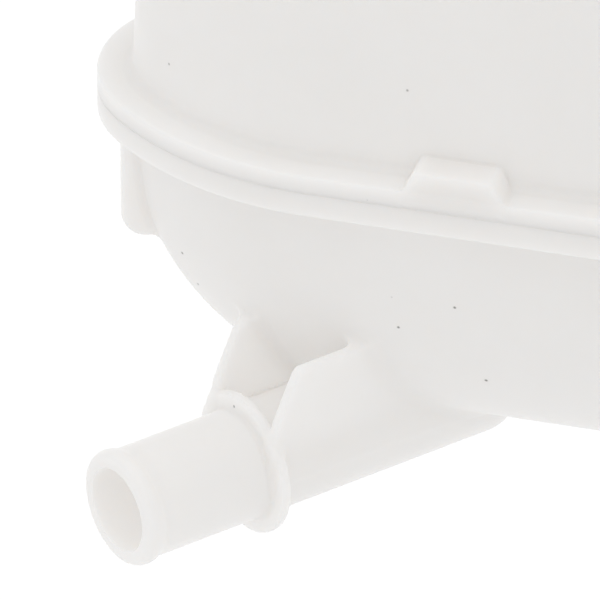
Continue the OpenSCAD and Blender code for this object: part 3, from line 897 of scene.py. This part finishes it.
def upper_shell():
    def base(p):
        return np.minimum(crown_distance(p), plate_distance(p, 0.0, FLANGE_UP))
    shell = upper_loft()
    neck_field = patch_field(base, neck_distance, BLEND)
    nozzle_field = patch_field(base, nozzle_distance, NOZZLE_BLEND)
    tab_field = patch_field(base, tab_distance, TAB_BLEND)
    neck = surface("neck", neck_field, (3, -25, 27), (53, 25, 79), COARSE_STEP)
    nozzle = surface("nozzle", nozzle_field, (-100, -10, 34), (-60, 10, 62), NOZZLE_STEP)
    tab = surface("tab", tab_field, (-31, -33, 0.5), (-6, -22, 9), TAB_STEP)
    for detail in (neck, nozzle, tab):
        combine(shell, detail, "UNION")
    top = RIM_Z + PAST
    neck_bore = tube_cutter("neck_bore", (NECK_X, 0, 0), (0, 0, 1), NECK_BORE_R, CROWN_H / 2, top, False)
    nozzle_bore = tube_cutter("nozzle_bore", NOZZLE_C, NOZZLE_D, NOZZLE_BORE_R, -4, NOZZLE_L + PAST, False)
    for bore in (neck_bore, nozzle_bore):
        combine(shell, bore, "DIFFERENCE")
    low = THREAD_TOP - PITCH * THREAD_TURNS
    ridge = thread("neck_thread", NECK_R - 0.3, NECK_R + THREAD_RISE, 1.0, 0.45, low, THREAD_TURNS, on_neck)
    combine(shell, ridge, "UNION")
    add_baffles(shell, crown_distance, 1, CROWN_H)

    def inside(p):
        return (crown_distance(p) < -0.7 * WALL) | (p[:, 2] < 0.06) & (plan_distance(p) < -0.2)
    finish_shell(shell, "upper_shell", inside)


# The carried-over solids

def soften(node, width):
    """Small rounds on a carried-over solid's edges."""
    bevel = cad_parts[node].modifiers.new("round", "BEVEL")
    bevel.width = width * MM
    bevel.segments = 3
    bevel.limit_method = "ANGLE"
    bevel.angle_limit = math.radians(40)
    bevel.harden_normals = True


def spring(node, body, coil_r, wire_r, turns, fixed_at_top):
    """A compression spring as high as its CAD node."""
    low, high = (v[2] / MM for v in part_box(node))
    u = np.linspace(0, turns, int(turns * COIL_STEPS) + 1)
    closed = wire_r * CLOSED_PITCH
    ends = np.minimum(u, CLOSED_TURN) + np.maximum(u - turns + CLOSED_TURN, 0)
    rise = np.clip((u - CLOSED_TURN) / (turns - 2 * CLOSED_TURN), 0, 1)
    z = low + wire_r + closed * ends + (high - low - 2 * wire_r - 2 * CLOSED_TURN * closed) * rise
    points = []
    for turn, height in zip(u * 2 * math.pi, z):
        for b in np.linspace(0, 2 * math.pi, WIRE_SIDES, endpoint=False):
            r = coil_r + wire_r * math.cos(b)
            points.append((NECK_X + r * math.cos(turn), r * math.sin(turn), height + wire_r * math.sin(b)))
    faces = ring_faces(WIRE_SIDES, len(u))
    faces += [tuple(range(WIRE_SIDES)), tuple(WIRE_SIDES * (len(u) - 1) + i for i in range(WIRE_SIDES))]
    piece = make_object(node + "_wire", points, faces)
    piece.data.materials.append(STEEL)
    outward(piece)
    shade(piece)
    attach(piece, body)
    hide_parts(node)
    fixed = high if fixed_at_top else low
    tuple(to_row([(NECK_X, 0.0, fixed)])[0])
    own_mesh(piece)


lower_shell()
upper_shell()

for name in ("ear_grommet_left", "ear_grommet_right", "rim_gasket", "neck_ring_upper", "neck_ring_lower",
             "pressure_seal", "vacuum_seal"):
    dress(name, RUBBER)
for name in ("ear_bush_left", "ear_bush_right", "spring_seat", "vacuum_clip"):
    dress(name, STEEL)
for name in ("valve_insert", "pressure_valve", "vacuum_valve"):
    dress(name, WHITE)
for name in ("cap_shell", "cap_retainer"):
    dress(name, BLACK)
for name, width in (("cap_shell", 0.45), ("ear_grommet_left", 0.5), ("ear_grommet_right", 0.5),
                    ("ear_bush_left", 0.3), ("ear_bush_right", 0.3), ("valve_insert", 0.2),
                    ("spring_seat", 0.15)):
    soften(name, width)

spring("pressure_spring", "insert", 8.0, 0.55, 6, True)
spring("vacuum_spring", "pressure_plate", 2.4, 0.25, 5, False)


# Floor, light and camera

# In metres, as are the places of the light and the camera
FLOOR_DROP = 0.06
FLOOR_SIZE = 12.0
FLOOR_WHITE = 0.97
WORLD_STRENGTH = 0.75
KEY_PLACE = (-0.3, -0.6, 1.8)
KEY_TARGET = (0, -0.05, 0)
KEY_SIZE = (2.0, 2.0)
KEY_POWER = 4
LENS = 1200
SENSOR = 36


def pale_floor():
    """A plain white floor well under the tank."""
    mesh = bpy.data.meshes.new("floor")
    h = FLOOR_SIZE / 2
    z = float(cad_box[0][2]) - FLOOR_DROP
    mesh.from_pydata([(-h, -h, z), (h, -h, z), (h, h, z), (-h, h, z)], [], [(0, 1, 2, 3)])
    floor = bpy.data.objects.new("floor", mesh)
    bpy.context.collection.objects.link(floor)
    material, tree, shader = new_material("pale_floor")
    shader.inputs["Base Color"].default_value = (0.08, 0.08, 0.08, 1)
    shader.inputs["Roughness"].default_value = 0.9
    shader.inputs["Emission Color"].default_value = (1, 1, 1, 1)
    shader.inputs["Emission Strength"].default_value = FLOOR_WHITE
    material.cycles.emission_sampling = "NONE"
    mesh.materials.append(material)
    # The floor shows white, but the tank takes its light evenly from the world
    floor.visible_diffuse = False
    floor.visible_transmission = False
    floor.visible_volume_scatter = False


def soft_world(strength):
    """Even white light from all round."""
    world = bpy.data.worlds.new("studio")
    world.use_nodes = True
    world.node_tree.nodes["Background"].inputs["Color"].default_value = (1, 1, 1, 1)
    world.node_tree.nodes["Background"].inputs["Strength"].default_value = strength
    bpy.context.scene.world = world


def softbox(name, location, target, size, power):
    """A soft rectangular light that faces its target."""
    light = bpy.data.lights.new(name, "AREA")
    light.shape = "RECTANGLE"
    light.size, light.size_y = size
    light.energy = power
    lamp = bpy.data.objects.new(name, light)
    lamp.location = location
    lamp.rotation_euler = (Vector(target) - Vector(location)).to_track_quat("-Z", "Y").to_euler()
    bpy.context.collection.objects.link(lamp)


def photo_camera():
    """A long lens at the photograph's angle, set so that the mark on the flange's nose falls on its pixel."""
    a, e = PHOTO_AZIMUTH, PHOTO_ELEVATION
    right = np.array([math.cos(a), math.sin(a), 0.0])
    up = np.array([-math.sin(a) * math.sin(e), math.cos(a) * math.sin(e), math.cos(e)])
    back = np.array([math.sin(a) * math.cos(e), -math.cos(a) * math.cos(e), math.sin(e)])
    middle = PHOTO_SIZE / 2
    sideways = (middle - PHOTO_MARK_PIXEL[0]) / PIXELS_PER_MM
    downwards = (middle - PHOTO_MARK_PIXEL[1]) / PIXELS_PER_MM
    target = PHOTO_MARK + right * sideways - up * downwards
    front = np.array([-30.0, -HALF_W, -12.0])
    target = target + back * ((front - target) @ back)
    camera = bpy.data.cameras.new("camera")
    camera.lens = LENS
    camera.sensor_width = SENSOR
    distance = PHOTO_SIZE / PIXELS_PER_MM * camera.lens / camera.sensor_width
    camera.clip_start = 0.1
    camera.clip_end = 50
    rig = bpy.data.objects.new("camera", camera)
    rig.location = to_row(target + back * distance)
    rig.rotation_euler = Vector(-back).to_track_quat("-Z", "Y").to_euler()
    bpy.context.collection.objects.link(rig)
    bpy.context.scene.camera = rig


pale_floor()
soft_world(WORLD_STRENGTH)
softbox("key", KEY_PLACE, KEY_TARGET, KEY_SIZE, KEY_POWER)
photo_camera()
bpy.context.scene.view_settings.view_transform = "Standard"
